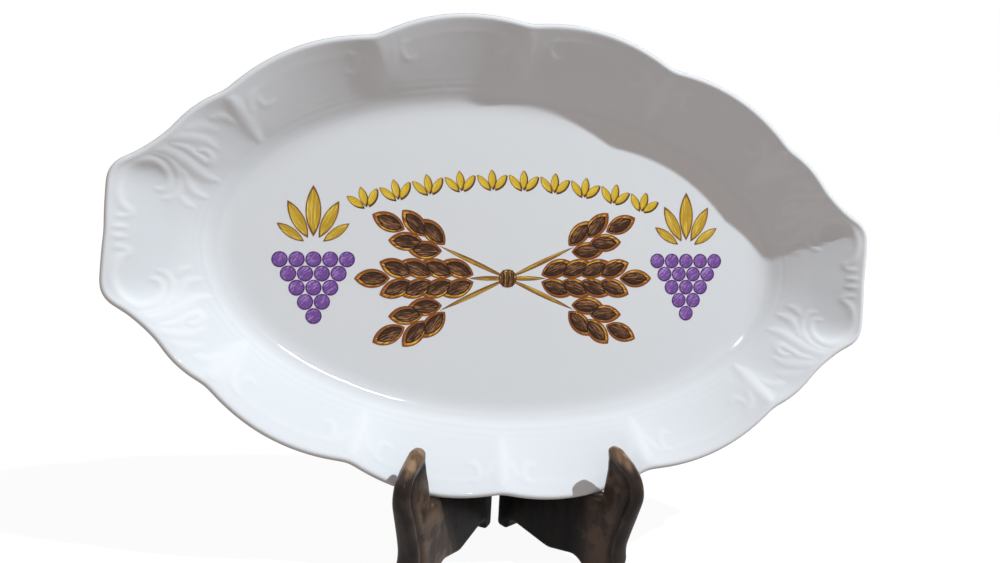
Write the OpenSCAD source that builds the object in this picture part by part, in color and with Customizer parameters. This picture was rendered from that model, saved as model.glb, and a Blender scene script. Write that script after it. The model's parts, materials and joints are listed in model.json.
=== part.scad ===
// Oval porcelain platter with a scalloped edge and two handle ends, leaning on a
// two-leaf folding stand of dark wood. The leaves are hinged like a book along their
// rear edges. Millimetres, +Z up, the viewer looks along +Y, origin under the middle.

/* [Platter] */
// Length between the two handle ends
platter_length = 400; // [380:2:420]
// Width between the two centre notches of the edge
platter_width = 244; // [236:2:260]
// Height of the edge above the table when the platter lies flat
platter_height = 30; // [28:0.5:33]
// Depth of the well below the edge
well_depth = 24; // [22:0.5:25]
// Thickness of the porcelain
porcelain_wall = 4.5; // [3.8:0.1:5]
// Radius of the rounded lip
lip_radius = 2; // [1.6:0.1:2.2]
// Length of the flat floor of the well
floor_length = 276; // [260:2:284]
// Width of the flat floor of the well
floor_width = 148; // [140:2:156]
// Length of the crease where the well turns into the rim
crease_length = 316; // [308:2:328]
// Width of the same crease
crease_width = 180; // [172:2:188]
// Width of the foot ring underneath
foot_width = 5; // [3:0.5:7]
// Height of the foot ring
foot_height = 2; // [1:0.25:2.5]

/* [Print] */
// Thickness of the fired print and of the gilt line
print_skin = 0.15; // [0.1:0.05:0.25]
// Width of the gilt line round the lip
gilt_width = 1.2; // [0.8:0.1:1.6]
// Turn of the whole print against the platter, in degrees
print_turn = 3.7; // [0:0.1:6]
// Distance of the middle of the sheaf below the middle of the platter
print_drop = 10; // [7:0.5:12]
// Length of one wheat grain
grain_length = 15; // [13:0.5:16]
// Width of one wheat grain
grain_width = 7.2; // [6:0.2:7.6]
// Distance from one pair of grains to the next along an ear
grain_pitch = 11; // [10.6:0.2:11.6]
// Distance of the first grains of the two middle ears from the middle of the sheaf
middle_ear_start = 27; // [24:1:29]
// Distance of the first grains of the four outer ears from the middle of the sheaf
outer_ear_start = 47; // [45:1:50]
// Width of the stems
stem_width = 1.6; // [1.2:0.1:2.2]
// Radius of the knot that ties the sheaf
knot_radius = 5; // [4:0.5:6.5]
// Radius of one grape
grape_radius = 4; // [3.4:0.1:4.2]
// Distance between the middles of neighbouring grapes
grape_pitch = 8.6; // [8.5:0.1:9.2]
// Distance of each grape cluster from the middle of the print
cluster_reach = 103.5; // [102:0.5:105]
// Height of the top row of grapes above the middle of the sheaf
cluster_height = 10; // [6:1:11]
// Length of the longest vine leaf above the grapes
vine_leaf = 27; // [23:1:28]
// Length of one leaf of the garland
garland_leaf = 10.5; // [8.5:0.5:11]
// Radius of the arc on which the garland stands
garland_radius = 280; // [270:5:300]
// Height of the top of that arc above the middle of the sheaf
garland_height = 47; // [46:0.5:49]

/* [Stand] */
// Thickness of each wooden leaf
board = 11; // [9.5:0.5:13]
// Height of the leaves above the table
leaf_height = 150; // [138:1:158]
// Angle of each leaf away from straight ahead, in degrees
half_angle = 33; // [30:1:36]
// Half of the slit between the leaves when the stand is folded
slit_half = 0.5; // [0.5:0.1:1]
// Height of the notch that the platter stands in
seat_height = 45.6; // [42:0.2:52]
// Distance from the hinge line to the rear edge of the hook
seat_reach = 79.6; // [77:0.1:82]
// Height of the hook tip above the notch
hook_rise = 32.3; // [27:0.1:36]
// Depth of the hook a little below the notch, from back to front
hook_depth = 20.5; // [18:0.5:23]
// Height of the shallow arch under each leaf
arch_rise = 7.8; // [5:0.2:10]
// Length of the rear foot of each leaf
rear_foot = 7.7; // [6.5:0.1:10]
// Length of the front foot of each leaf
front_foot = 20; // [16:1:22]

/* [Hinges] */
// Height of each brass hinge
hinge_height = 25; // [22:1:28]
// Height of the lower hinge above the table
lower_hinge_z = 30; // [24:1:40]
// Distance of the upper hinge below the top of the leaves
upper_hinge_drop = 17; // [15:1:26]
// Outer radius of the hinge knuckles
knuckle_radius = 2.4; // [2.2:0.1:2.8]
// Thickness of the hinge plates
plate_thickness = 1.2; // [1:0.1:1.3]
// Width of each hinge plate, from the hinge line to its free edge
plate_width = 10.6; // [9.4:0.2:11]
// Radius of the hinge pin
pin_radius = 1.1; // [0.9:0.05:1.2]
// Length of each hinge screw
screw_length = 9; // [7:0.5:11]
// Radius of the screw shank
screw_radius = 0.9; // [0.7:0.05:1]
// Radius of the countersunk screw head
screw_head = 1.9; // [1.6:0.1:2.1]

/* [Fit] */
// Backward lean of the platter, in degrees
platter_lean = 10; // [8:0.5:11]
// Clockwise turn of the platter in its own plane, in degrees
platter_turn = 2.5; // [0:0.5:4]
// Distance of the stand to the right of the platter's middle
stand_shift = 2; // [0:0.5:6]
// Gap between the platter and what it rests on
rest_gap = 0.3; // [0.2:0.05:0.5]
// Gap between a pin or screw and its hole
running_gap = 0.05; // [0.03:0.01:0.08]
// Gap between neighbouring knuckles
knuckle_gap = 0.2; // [0.1:0.05:0.4]

/* [Hidden] */
$fn = 48;
cut = 1;

porcelain_white = "#eef0f2";
walnut_brown = "#3a2a20";
brass_yellow = "#b08d4a";
grain_brown = "#6b3f26";
grape_purple = "#8d62b0";
leaf_gold = "#e2c02c";
gilt_beige = "#a8926a";

// One quarter of the scalloped edge, from a handle end to the centre notch: each row is
// the share of the half length, the share of the half width, and how far the lobe to
// the next row bulges, as a share of its own chord.
edge_shares = [[0.9975, 0, 0.012], [1, 0.172, 0.2], [0.95, 0.303, -0.03],
    [0.862, 0.424, 0.07], [0.7475, 0.586, 0.1], [0.395, 0.879, 0.102], [0, 1, 0]];
edge_step = 6.2;
// Rise of the rim from the crease to the lip: share of the way out, share of the depth
rim_shares = [[0, 0.27], [0.12, 0.37], [0.32, 0.52], [0.58, 0.7], [0.82, 0.87]];
// Rise of the cove between the floor and the crease, in the same way
cove_shares = [[0.34, 0.05], [0.7, 0.145]];

half_length = platter_length / 2;
half_width = platter_width / 2;
floor_z = platter_height - well_depth;

// Quarter outline as arcs between the anchor points
function anchor(k) = [edge_shares[k][0] * half_length, edge_shares[k][1] * half_width];
function lobe(k) = let(a = anchor(k), b = anchor(k + 1), chord = norm(b - a),
        out = [b[1] - a[1], a[0] - b[0]] / chord, steps = max(2, round(chord / edge_step)))
    [for (i = [0 : steps - 1]) let(t = i / steps)
        a + (b - a) * t + out * 4 * edge_shares[k][2] * chord * t * (1 - t)];
quarter = [for (k = [0 : len(edge_shares) - 2]) each lobe(k)];
turns = len(quarter);
raw_edge = concat(quarter, [[0, half_width]],
    [for (i = [turns - 1 : -1 : 0]) [-quarter[i][0], quarter[i][1]]],
    [for (i = [1 : turns - 1]) [-quarter[i][0], -quarter[i][1]]], [[0, -half_width]],
    [for (i = [turns - 1 : -1 : 1]) [quarter[i][0], -quarter[i][1]]]);
function wrap(list, i) = list[(i + len(list)) % len(list)];
// Rounds the cusps between the lobes by averaging each point with its neighbours
function soften(list, rounds) = rounds == 0 ? list : soften([for (i = [0 : len(list) - 1])
    wrap(list, i) / 2 + (wrap(list, i - 1) + wrap(list, i + 1)) / 4], rounds - 1);
edge = soften(raw_edge, 2);
points = len(edge);
function unit(v) = v / norm(v);
function outward(list, i) = let(d = unit(wrap(list, i + 1) - wrap(list, i - 1))) [d[1], -d[0]];

// Rings of the platter, all with the same number of points
function oval(a, b, z) = [for (p = edge) let(w = atan2(p[1] / half_width, p[0] / half_length))
    [a * cos(w), b * sin(w), z]];
function rim_ring(share, inset, z) = let(inner = oval(crease_length / 2, crease_width / 2, z))
    [for (i = [0 : points - 1]) let(e = edge[i] - outward(edge, i) * inset)
        inner[i] + ([e[0], e[1], z] - inner[i]) * share];
function lip_ring(angle, radius) = [for (i = [0 : points - 1])
    let(e = edge[i] + outward(edge, i) * (radius * cos(angle) - lip_radius))
        [e[0], e[1], platter_height - lip_radius + radius * sin(angle)]];

function between(a, b, share) = a + (b - a) * share;
function cove_ring(row, drop) = oval(between(floor_length, crease_length, row[0]) / 2,
    between(floor_width, crease_width, row[0]) / 2, floor_z + row[1] * well_depth - drop);
front_rings = concat([oval(floor_length / 2, floor_width / 2, floor_z)],
    [for (row = cove_shares) cove_ring(row, 0)],
    [for (row = rim_shares) rim_ring(row[0], 2 * lip_radius, floor_z + row[1] * well_depth)]);
gilt_spread = gilt_width / lip_radius * 90 / PI;
lip_rings = [for (angle = [80, 45, gilt_spread, -gilt_spread, -45, -70]) lip_ring(angle, lip_radius)];
back_rings = [for (k = [len(rim_shares) - 1 : -1 : 1]) let(row = rim_shares[k])
    rim_ring(row[0], 2 * lip_radius, floor_z + row[1] * well_depth - porcelain_wall)];
foot_rings = [oval(floor_length / 2 + foot_width, floor_width / 2 + foot_width, foot_height),
    oval(floor_length / 2 + foot_width, floor_width / 2 + foot_width, foot_height / 2),
    oval(floor_length / 2 + foot_width * 3 / 4, floor_width / 2 + foot_width * 3 / 4, 0),
    oval(floor_length / 2 + foot_width / 4, floor_width / 2 + foot_width / 4, 0),
    oval(floor_length / 2, floor_width / 2, foot_height / 2),
    oval(floor_length / 2, floor_width / 2, foot_height)];
platter_rings = concat(front_rings, lip_rings, back_rings, foot_rings);

// Triangles between neighbouring rings of n points
function strip(n, low, high) = [for (i = [0 : n - 1]) let(j = (i + 1) % n)
    each [[low * n + i, low * n + j, high * n + j], [low * n + i, high * n + j, high * n + i]]];

// The platter's own frame: x along its length, y across, z from the foot to the edge.
// On the stand the platter turns clockwise, leans back and stands in the two notches.
axis_tilt = 90 - platter_lean;
function turned(p) = [p[0] * cos(platter_turn) + p[1] * sin(platter_turn),
    p[1] * cos(platter_turn) - p[0] * sin(platter_turn)];
low_edge = [for (p = edge) if (p[1] < 0) turned(p)];
// Where the two notches cross the lip, at the inner face of each leaf
seat_x = (seat_reach - hook_depth / 4) * sin(half_angle);
seat_drop = -min(lookup(stand_shift - seat_x, low_edge), lookup(stand_shift + seat_x, low_edge));
hook_y = (slit_half + board) * sin(half_angle) - seat_reach * cos(half_angle);
platter_y = hook_y + rest_gap + seat_drop * sin(platter_lean) + platter_height * cos(platter_lean);
platter_z = seat_height + rest_gap + print_skin + seat_drop * cos(platter_lean)
    - (platter_height - lip_radius) * sin(platter_lean);

// Outline of a leaf seen square on: reach from the hinge line, height, corner radius,
// and how far the edge is eased there.
foot_front = seat_reach + hook_depth * 0.73;
upright_gap = rest_gap + slit_half;
function upright_reach(z) = (slit_half * sin(half_angle) - upright_gap - platter_y
    - (z - platter_z) * tan(platter_lean)) / cos(half_angle);
leaf_corners = [
    [knuckle_radius, 0, board * 0.14, board * 0.09],
    [knuckle_radius + rear_foot, 0, arch_rise * 0.3, board * 0.11],
    [knuckle_radius + rear_foot * 1.38, arch_rise, arch_rise * 0.7, board * 0.18],
    [foot_front - front_foot * 2.23, arch_rise * 0.5, board * 1.27, board * 0.18],
    [foot_front - front_foot * 1.84, arch_rise * 1.13, arch_rise * 0.7, board * 0.18],
    [foot_front - front_foot, 0, arch_rise * 0.5, board * 0.11],
    [foot_front, 0, board * 0.3, board * 0.14],
    [foot_front - hook_depth * 0.08, seat_height * 0.52, hook_depth * 0.9, board * 0.36],
    [seat_reach + hook_depth * 1.32, seat_height + hook_rise * 0.51, hook_depth * 0.92, board * 0.36],
    [seat_reach + hook_depth * 0.59, seat_height + hook_rise * 0.77, hook_depth * 0.5, board * 0.25],
    [seat_reach + hook_depth * 0.34, seat_height + hook_rise * 0.88, hook_depth * 0.2, hook_depth * 0.11],
    [seat_reach + hook_depth * 0.025, seat_height + hook_rise, hook_depth * 0.11, hook_depth * 0.09],
    [seat_reach + hook_depth * 0.09, seat_height + hook_rise * 0.67, hook_depth * 0.7, board * 0.2],
    [seat_reach, seat_height, board * 0.14, board * 0.09],
    [upright_reach(seat_height), seat_height, board, board * 0.14],
    [upright_reach(leaf_height), leaf_height, board * 0.4, board * 0.14],
    [knuckle_radius, leaf_height, board * 0.34, board * 0.09]];
bend_step = 14;
function rounded_corner(a, b, c) = let(p = [b[0], b[1]], u = unit([a[0], a[1]] - p),
        v = unit([c[0], c[1]] - p), half = acos(u * v) / 2, away = b[2] / tan(half),
        middle = p + unit(u + v) * b[2] / sin(half), from = p + u * away - middle,
        turn = cross(u, v) > 0 ? half * 2 - 180 : 180 - half * 2,
        steps = max(2, ceil(abs(turn) / bend_step)), start = atan2(from[1], from[0]))
    [for (i = [0 : steps]) let(w = start + turn * i / steps)
        [middle[0] + b[2] * cos(w), middle[1] + b[2] * sin(w), b[3]]];
leaf_edge = [for (i = [0 : len(leaf_corners) - 1]) each rounded_corner(
    wrap(leaf_corners, i - 1), leaf_corners[i], wrap(leaf_corners, i + 1))];
leaf_flat = [for (p = leaf_edge) [p[0], p[1]]];
upper_hinge_z = leaf_height - upper_hinge_drop - hinge_height;

// The board with its edges eased to quarter rounds, in the frame reach, thickness, height
ease_angles = [90, 60, 30, 0];
function leaf_ring(angle, face) = [for (i = [0 : len(leaf_edge) - 1])
    let(ease = leaf_edge[i][2], q = leaf_flat[i] - outward(leaf_flat, i) * ease * (1 - cos(angle)))
        [q[0], slit_half + board / 2 + face * (board / 2 - ease * (1 - sin(angle))), q[1]]];
leaf_rings = concat([for (angle = ease_angles) leaf_ring(angle, -1)],
    [for (k = [len(ease_angles) - 1 : -1 : 0]) leaf_ring(ease_angles[k], 1)]);

// Furthest reach to the front and the back, so that the origin lies under the middle
function lean_y(p) = platter_y + turned(p)[1] * sin(platter_lean) - p[2] * cos(platter_lean);
function spread_y(reach, off) = off * sin(half_angle) - reach * cos(half_angle);
part_ys = concat([for (ring = platter_rings) each [for (p = ring) lean_y(p)]],
    [for (ring = leaf_rings) each [for (p = ring) spread_y(p[0], p[1])]],
    [spread_y(knuckle_radius - plate_thickness, plate_width)]);
hinge_y = -(max(part_ys) + min(part_ys)) / 2;

module stand_place() {
    translate([stand_shift, hinge_y, 0]) children();
}
module right_side() {
    stand_place() rotate([0, 0, half_angle - 90]) children();
}
module left_side() {
    stand_place() mirror([1, 0, 0]) rotate([0, 0, half_angle - 90]) children();
}
module platter_place() {
    translate([0, hinge_y + platter_y, platter_z]) rotate([axis_tilt, 0, 0])
        rotate([0, 0, -platter_turn]) children();
}

module platter_body() {
    last = len(platter_rings) - 1;
    color(porcelain_white) platter_place()
        polyhedron(points = [for (ring = platter_rings) each ring],
            faces = concat([[for (i = [points - 1 : -1 : 0]) i]],
                [for (k = [0 : last - 1]) each strip(points, k, k + 1)],
                [[for (i = [0 : points - 1]) last * points + i]]));
}

// A thin band on the outermost part of the lip
module gilt_edge_line() {
    rings = [lip_ring(gilt_spread, lip_radius + print_skin), lip_ring(-gilt_spread, lip_radius + print_skin),
        lip_ring(-gilt_spread, lip_radius), lip_ring(gilt_spread, lip_radius)];
    color(gilt_beige) platter_place()
        polyhedron(points = [for (ring = rings) each ring],
            faces = [for (k = [0 : len(rings) - 1]) each strip(points, k, (k + 1) % len(rings))]);
}

// The print lies on the floor of the well
module on_floor() {
    platter_place() translate([0, -print_drop, floor_z]) rotate([0, 0, print_turn])
        linear_extrude(print_skin) children();
}
// A pointed oval, drawn as the overlap of two circles
module pointed_oval(length, width) {
    radius = (length * length + width * width) / (4 * width);
    intersection() {
        translate([0, width / 2 - radius]) circle(radius);
        translate([0, radius - width / 2]) circle(radius);
    }
}

// A sheaf of six ears of wheat, three to each side, tied in the middle
ear_turn = 25;
grain_turn = 22;
grain_lane_share = 0.72;
tip_grain_share = 0.15;
middle_rows = 4;
outer_rows = 2;
module ear(start, rows) {
    translate([0, -stem_width / 2]) square([start - grain_length / 2, stem_width]);
    for (row = [0 : rows - 1], lane = [-1, 1])
        translate([start + row * grain_pitch, lane * grain_width * grain_lane_share])
            rotate([0, 0, lane * grain_turn]) pointed_oval(grain_length, grain_width);
    translate([start + (rows + tip_grain_share) * grain_pitch, 0])
        pointed_oval(grain_length, grain_width);
}
module print_wheat_centre() {
    color(grain_brown) on_floor() {
        circle(knot_radius);
        for (side = [0, 180]) rotate([0, 0, side]) {
            ear(middle_ear_start, middle_rows);
            for (turn = [-ear_turn, ear_turn]) rotate([0, 0, turn]) ear(outer_ear_start, outer_rows);
        }
    }
}

// A hanging cluster of grapes under a fan of vine leaves: each leaf has its turn in
// degrees and its share of the longest leaf.
grape_rows = 5;
vine_leaf_shares = [[35, 0.62], [62, 0.82], [90, 1], [118, 0.82], [145, 0.62]];
vine_slim_share = 0.3;
vine_root_share = 0.22;
module grape_cluster() {
    row_step = grape_pitch * sin(60);
    for (row = [0 : grape_rows - 1], k = [0 : grape_rows - 1 - row])
        translate([(k - (grape_rows - 1 - row) / 2) * grape_pitch, -row * row_step])
            circle(grape_radius);
    for (row = vine_leaf_shares)
        translate([0, grape_radius * 1.5]) rotate([0, 0, row[0]])
            translate([vine_leaf * (vine_root_share + row[1] / 2), 0])
                pointed_oval(vine_leaf * row[1], vine_leaf * row[1] * vine_slim_share);
}
module print_grapes_left() {
    color(grape_purple) on_floor() translate([-cluster_reach, cluster_height]) grape_cluster();
}
module print_grapes_right() {
    color(grape_purple) on_floor() translate([cluster_reach, cluster_height]) grape_cluster();
}

// A garland of small three-leaved sprigs that stand on an arc
sprig_count = 10;
sprig_step = 3.5;
sprig_fan = 40;
sprig_slim_share = 0.38;
sprig_root_share = 0.2;
module print_gold_garland() {
    color(leaf_gold) on_floor() translate([0, garland_height - garland_radius])
        for (k = [0 : sprig_count - 1], fan = [-sprig_fan, 0, sprig_fan])
            rotate([0, 0, (k - (sprig_count - 1) / 2) * sprig_step])
                translate([0, garland_radius]) rotate([0, 0, 90 + fan])
                    translate([garland_leaf * (sprig_root_share + 1 / 2), 0])
                        pointed_oval(garland_leaf, garland_leaf * sprig_slim_share);
}

// Cuts a flat outline that runs anticlockwise into triangles, one corner at a time
function within(p, a, b, c) = cross(b - a, p - a) >= 0 && cross(c - b, p - b) >= 0
    && cross(a - c, p - c) >= 0;
function can_cut(flat, left, k) = let(n = len(left), i = (k + n - 1) % n, j = (k + 1) % n,
        a = flat[left[i]], b = flat[left[k]], c = flat[left[j]])
    cross(b - a, c - b) > 0
    && len([for (m = [0 : n - 1]) if (m != i && m != k && m != j && within(flat[left[m]], a, b, c)) m]) == 0;
function next_cut(flat, left, k) = can_cut(flat, left, k % len(left)) ? k % len(left)
    : next_cut(flat, left, k + 1);
function triangles(flat, left, k = 0) = len(left) == 3 ? [left]
    : let(e = next_cut(flat, left, k))
        concat([[wrap(left, e - 1), left[e], wrap(left, e + 1)]],
            triangles(flat, [for (m = [0 : len(left) - 1]) if (m != e) left[m]], e + 1));
module leaf_board() {
    n = len(leaf_edge);
    last = len(leaf_rings) - 1;
    near = [for (p = leaf_rings[0]) [p[0], p[2]]];
    cap = triangles(near, [for (i = [0 : n - 1]) i]);
    difference() {
        polyhedron(points = [for (ring = leaf_rings) each ring],
            faces = concat([for (t = cap) [t[2], t[1], t[0]]],
                [for (k = [0 : last - 1]) each strip(n, k, k + 1)],
                [for (t = cap) [for (i = t) last * n + i]]));
        for (z = [lower_hinge_z, upper_hinge_z]) translate([0, 0, z]) screw_holes();
    }
}
module left_leaf() {
    color(walnut_brown) left_side() leaf_board();
}
module right_leaf() {
    color(walnut_brown) right_side() leaf_board();
}

// Butt hinges on the rear edges, in the same frame as the boards
knuckle_pitch = hinge_height / 3;
screw_off = (plate_width + knuckle_radius) / 2 + screw_head / 4;
screw_heights = [hinge_height / 5, hinge_height * 4 / 5];
head_depth = plate_thickness * 0.9;
module along_reach(off, z) {
    translate([knuckle_radius - plate_thickness, off, z]) rotate([0, 90, 0]) children();
}
module screw_holes() {
    for (z = screw_heights) along_reach(screw_off, z)
        cylinder(h = screw_length + running_gap, r = screw_radius + running_gap);
}
module screws() {
    for (z = screw_heights) along_reach(screw_off, z) difference() {
        union() {
            cylinder(h = screw_length, r = screw_radius);
            cylinder(h = head_depth, r1 = screw_head, r2 = screw_radius);
        }
        slot = screw_head / 4;
        translate([-slot / 2, -screw_head, -cut]) cube([slot, screw_head * 2, cut + head_depth / 3]);
    }
}
// One plate with the knuckles whose numbers are listed, out of three
module hinge_plate(own, other) {
    difference() {
        union() {
            translate([knuckle_radius - plate_thickness, 0, 0])
                cube([plate_thickness, plate_width, hinge_height]);
            for (k = own) translate([0, 0, k * knuckle_pitch + knuckle_gap / 2])
                cylinder(h = knuckle_pitch - knuckle_gap, r = knuckle_radius);
        }
        for (k = other) translate([0, 0, k * knuckle_pitch - knuckle_gap / 2])
            cylinder(h = knuckle_pitch + knuckle_gap, r = knuckle_radius + knuckle_gap);
        translate([0, 0, -cut])
            cylinder(h = hinge_height + cut * 2, r = pin_radius + running_gap);
        for (z = screw_heights) along_reach(screw_off, z) {
            translate([0, 0, -cut]) cylinder(h = plate_thickness + cut * 2, r = screw_radius + running_gap);
            translate([0, 0, -running_gap])
                cylinder(h = head_depth + running_gap * 2, r1 = screw_head + running_gap * 2,
                    r2 = screw_radius + running_gap);
        }
    }
}
module hinge_pin() {
    head = pin_radius * 1.5;
    head_height = pin_radius / 2;
    cylinder(h = hinge_height, r = pin_radius);
    for (z = [knuckle_gap / 2 - head_height, hinge_height - knuckle_gap / 2])
        translate([0, 0, z]) cylinder(h = head_height, r = head);
}
module left_plate(z) {
    color(brass_yellow) left_side() translate([0, 0, z]) hinge_plate([0, 2], [1]);
}
module right_plate(z) {
    color(brass_yellow) right_side() translate([0, 0, z]) hinge_plate([1], [0, 2]);
}
module left_screws(z) {
    color(brass_yellow) left_side() translate([0, 0, z]) screws();
}
module right_screws(z) {
    color(brass_yellow) right_side() translate([0, 0, z]) screws();
}
module pin(z) {
    color(brass_yellow) left_side() translate([0, 0, z]) hinge_pin();
}

platter_body();
gilt_edge_line();
print_wheat_centre();
print_grapes_left();
print_grapes_right();
print_gold_garland();
left_leaf();
right_leaf();
left_plate(lower_hinge_z);  // lower_hinge_left_plate
right_plate(lower_hinge_z);  // lower_hinge_right_plate
pin(lower_hinge_z);  // lower_hinge_pin
left_screws(lower_hinge_z);  // lower_hinge_left_screws
right_screws(lower_hinge_z);  // lower_hinge_right_screws
left_plate(upper_hinge_z);  // upper_hinge_left_plate
right_plate(upper_hinge_z);  // upper_hinge_right_plate
pin(upper_hinge_z);  // upper_hinge_pin
left_screws(upper_hinge_z);  // upper_hinge_left_screws
right_screws(upper_hinge_z);  // upper_hinge_right_screws
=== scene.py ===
# %% [markdown]
# This script dresses an oval porcelain platter that leans on a folding stand of dark wood. The packed
# CAD model comes first and gives every place. Each piece is then worked out with numpy in millimetres,
# in the frame that suits it, and moved to where the CAD model has it. The hinges keep their solids.

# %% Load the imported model
import json
import math
import bpy
import numpy as np
from mathutils import Matrix, Vector
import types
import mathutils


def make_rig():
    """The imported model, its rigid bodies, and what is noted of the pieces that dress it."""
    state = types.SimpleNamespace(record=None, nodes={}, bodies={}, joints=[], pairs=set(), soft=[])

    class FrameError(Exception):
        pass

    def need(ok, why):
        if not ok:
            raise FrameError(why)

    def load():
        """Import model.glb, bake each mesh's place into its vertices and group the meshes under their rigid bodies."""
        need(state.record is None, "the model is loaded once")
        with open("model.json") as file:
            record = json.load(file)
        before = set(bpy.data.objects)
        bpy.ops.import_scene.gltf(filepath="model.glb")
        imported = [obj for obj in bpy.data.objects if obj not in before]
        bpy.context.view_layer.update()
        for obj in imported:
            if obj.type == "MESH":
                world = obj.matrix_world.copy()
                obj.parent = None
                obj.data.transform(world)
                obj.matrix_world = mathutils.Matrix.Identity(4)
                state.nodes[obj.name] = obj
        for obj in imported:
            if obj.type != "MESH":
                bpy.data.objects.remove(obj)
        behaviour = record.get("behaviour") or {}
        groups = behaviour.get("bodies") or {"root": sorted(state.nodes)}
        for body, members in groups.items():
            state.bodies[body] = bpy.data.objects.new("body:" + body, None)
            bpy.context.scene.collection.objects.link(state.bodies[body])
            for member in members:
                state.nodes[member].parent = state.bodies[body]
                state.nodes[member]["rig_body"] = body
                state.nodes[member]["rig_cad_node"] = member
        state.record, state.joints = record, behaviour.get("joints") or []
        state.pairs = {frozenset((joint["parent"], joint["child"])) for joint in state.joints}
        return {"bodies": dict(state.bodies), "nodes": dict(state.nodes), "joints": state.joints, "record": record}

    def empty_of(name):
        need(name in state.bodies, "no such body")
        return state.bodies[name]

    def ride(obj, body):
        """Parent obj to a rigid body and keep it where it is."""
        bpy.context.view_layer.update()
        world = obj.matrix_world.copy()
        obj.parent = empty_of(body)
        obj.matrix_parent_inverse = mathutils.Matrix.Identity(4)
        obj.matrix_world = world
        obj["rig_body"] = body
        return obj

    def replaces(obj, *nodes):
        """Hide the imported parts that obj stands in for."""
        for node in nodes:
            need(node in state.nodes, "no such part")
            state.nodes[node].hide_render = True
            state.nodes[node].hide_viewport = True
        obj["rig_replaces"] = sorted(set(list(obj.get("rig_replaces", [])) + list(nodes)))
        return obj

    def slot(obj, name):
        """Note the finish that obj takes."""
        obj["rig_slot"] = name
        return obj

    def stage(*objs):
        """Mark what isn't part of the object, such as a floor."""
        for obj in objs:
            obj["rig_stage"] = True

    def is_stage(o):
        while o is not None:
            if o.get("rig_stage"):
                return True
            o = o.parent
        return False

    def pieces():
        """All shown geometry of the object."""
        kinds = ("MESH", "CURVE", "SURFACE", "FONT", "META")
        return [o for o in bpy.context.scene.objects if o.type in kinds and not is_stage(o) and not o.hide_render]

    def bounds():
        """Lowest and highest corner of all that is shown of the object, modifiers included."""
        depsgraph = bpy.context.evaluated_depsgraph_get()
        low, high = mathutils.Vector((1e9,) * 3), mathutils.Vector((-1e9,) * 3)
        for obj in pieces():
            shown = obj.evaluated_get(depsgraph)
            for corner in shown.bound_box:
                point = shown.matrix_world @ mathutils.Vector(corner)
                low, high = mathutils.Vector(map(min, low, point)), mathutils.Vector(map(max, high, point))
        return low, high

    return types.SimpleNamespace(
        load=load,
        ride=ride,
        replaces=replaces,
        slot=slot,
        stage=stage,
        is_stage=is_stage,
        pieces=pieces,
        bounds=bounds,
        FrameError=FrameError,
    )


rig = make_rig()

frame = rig.load()
solid_box = [list(corner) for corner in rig.bounds()]
print("Bodies:", sorted(frame["bodies"]))
print("Box of the solids in metres:", solid_box)

# %% [markdown]
# The platter has a frame of its own: x along its length, y across, z from its foot to its edge. On the
# stand it is turned a little clockwise and leans back. Each leaf of the stand has a frame too: reach
# from the hinge line, off through the thickness of the board, and height. Two functions carry points
# from these frames to the table. They repeat the few lengths of the CAD model that they need.

# %% Frames of the platter and of the leaves
MM = 0.001
CUBIC_CM = 0.001
PLATTER_TURN = math.radians(-2.5)
PLATTER_LEAN = math.radians(10)
PLATTER_PLACE = np.array([0.0, 30.2932, 162.185])
HINGE_LINE = np.array([2.0, 39.6087])
HALF_ANGLE = math.radians(33)


def on_stand(spots):
    """Platter frame to table: turn about z, then lean back, then shift."""
    x, y, z = spots.T
    across = x * math.cos(PLATTER_TURN) - y * math.sin(PLATTER_TURN)
    up = x * math.sin(PLATTER_TURN) + y * math.cos(PLATTER_TURN)
    lean_sin, lean_cos = math.sin(PLATTER_LEAN), math.cos(PLATTER_LEAN)
    return np.stack([across, up * lean_sin - z * lean_cos, up * lean_cos + z * lean_sin], 1) + PLATTER_PLACE


def on_leaf(spots, side):
    """Leaf frame to table: reach goes forward and to the side, off goes through the board."""
    reach, off, height = spots.T
    x = HINGE_LINE[0] + side * (reach * math.sin(HALF_ANGLE) + off * math.cos(HALF_ANGLE))
    y = HINGE_LINE[1] - reach * math.cos(HALF_ANGLE) + off * math.sin(HALF_ANGLE)
    return np.stack([x, y, height], 1)


print("Middle of the platter's foot on the table:", on_stand(np.zeros((1, 3)))[0])

# %% [markdown]
# Every piece goes through one function. It puts the points and faces into a mesh, keeps named values
# for each point, which the materials read as attributes, and tells the frame which body carries the
# piece and which solid it stands for.

# %% Put a piece into the scene
def add_piece(name, spots, faces, body, finish, slot, stands_for=(), marks=None, smooth=True):
    """Spots are points on the table in millimetres, faces rows of indices, marks values per point."""
    spots = np.asarray(spots)
    mesh = bpy.data.meshes.new(name)
    mesh.from_pydata((spots * MM).tolist(), [], faces)
    mesh.polygons.foreach_set("use_smooth", np.full(len(mesh.polygons), smooth))
    for title, values in (marks or {}).items():
        values = np.asarray(values, float)
        kind, field = ("FLOAT", "value") if values.ndim == 1 else ("FLOAT_VECTOR", "vector")
        mesh.attributes.new(title, kind, "POINT").data.foreach_set(field, values.ravel())
    mesh.materials.append(finish)
    mesh.update()
    mesh.calc_loop_triangles()
    corners = np.zeros(len(mesh.loop_triangles) * 3, int)
    mesh.loop_triangles.foreach_get("vertices", corners)
    a, b, c = (spots[corners.reshape(-1, 3)[:, k]] for k in range(3))
    volume = np.einsum("ij,ij->i", a, np.cross(b, c)).sum() / 6 * CUBIC_CM
    piece = bpy.data.objects.new(name, mesh)
    bpy.context.scene.collection.objects.link(piece)
    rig.ride(piece, body)
    if stands_for:
        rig.replaces(piece, *stands_for)
    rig.slot(piece, slot)
    print(name, len(mesh.vertices), "points", len(corners) // 3, "triangles",
        round(volume, 3), "cubic centimetres")


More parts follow.
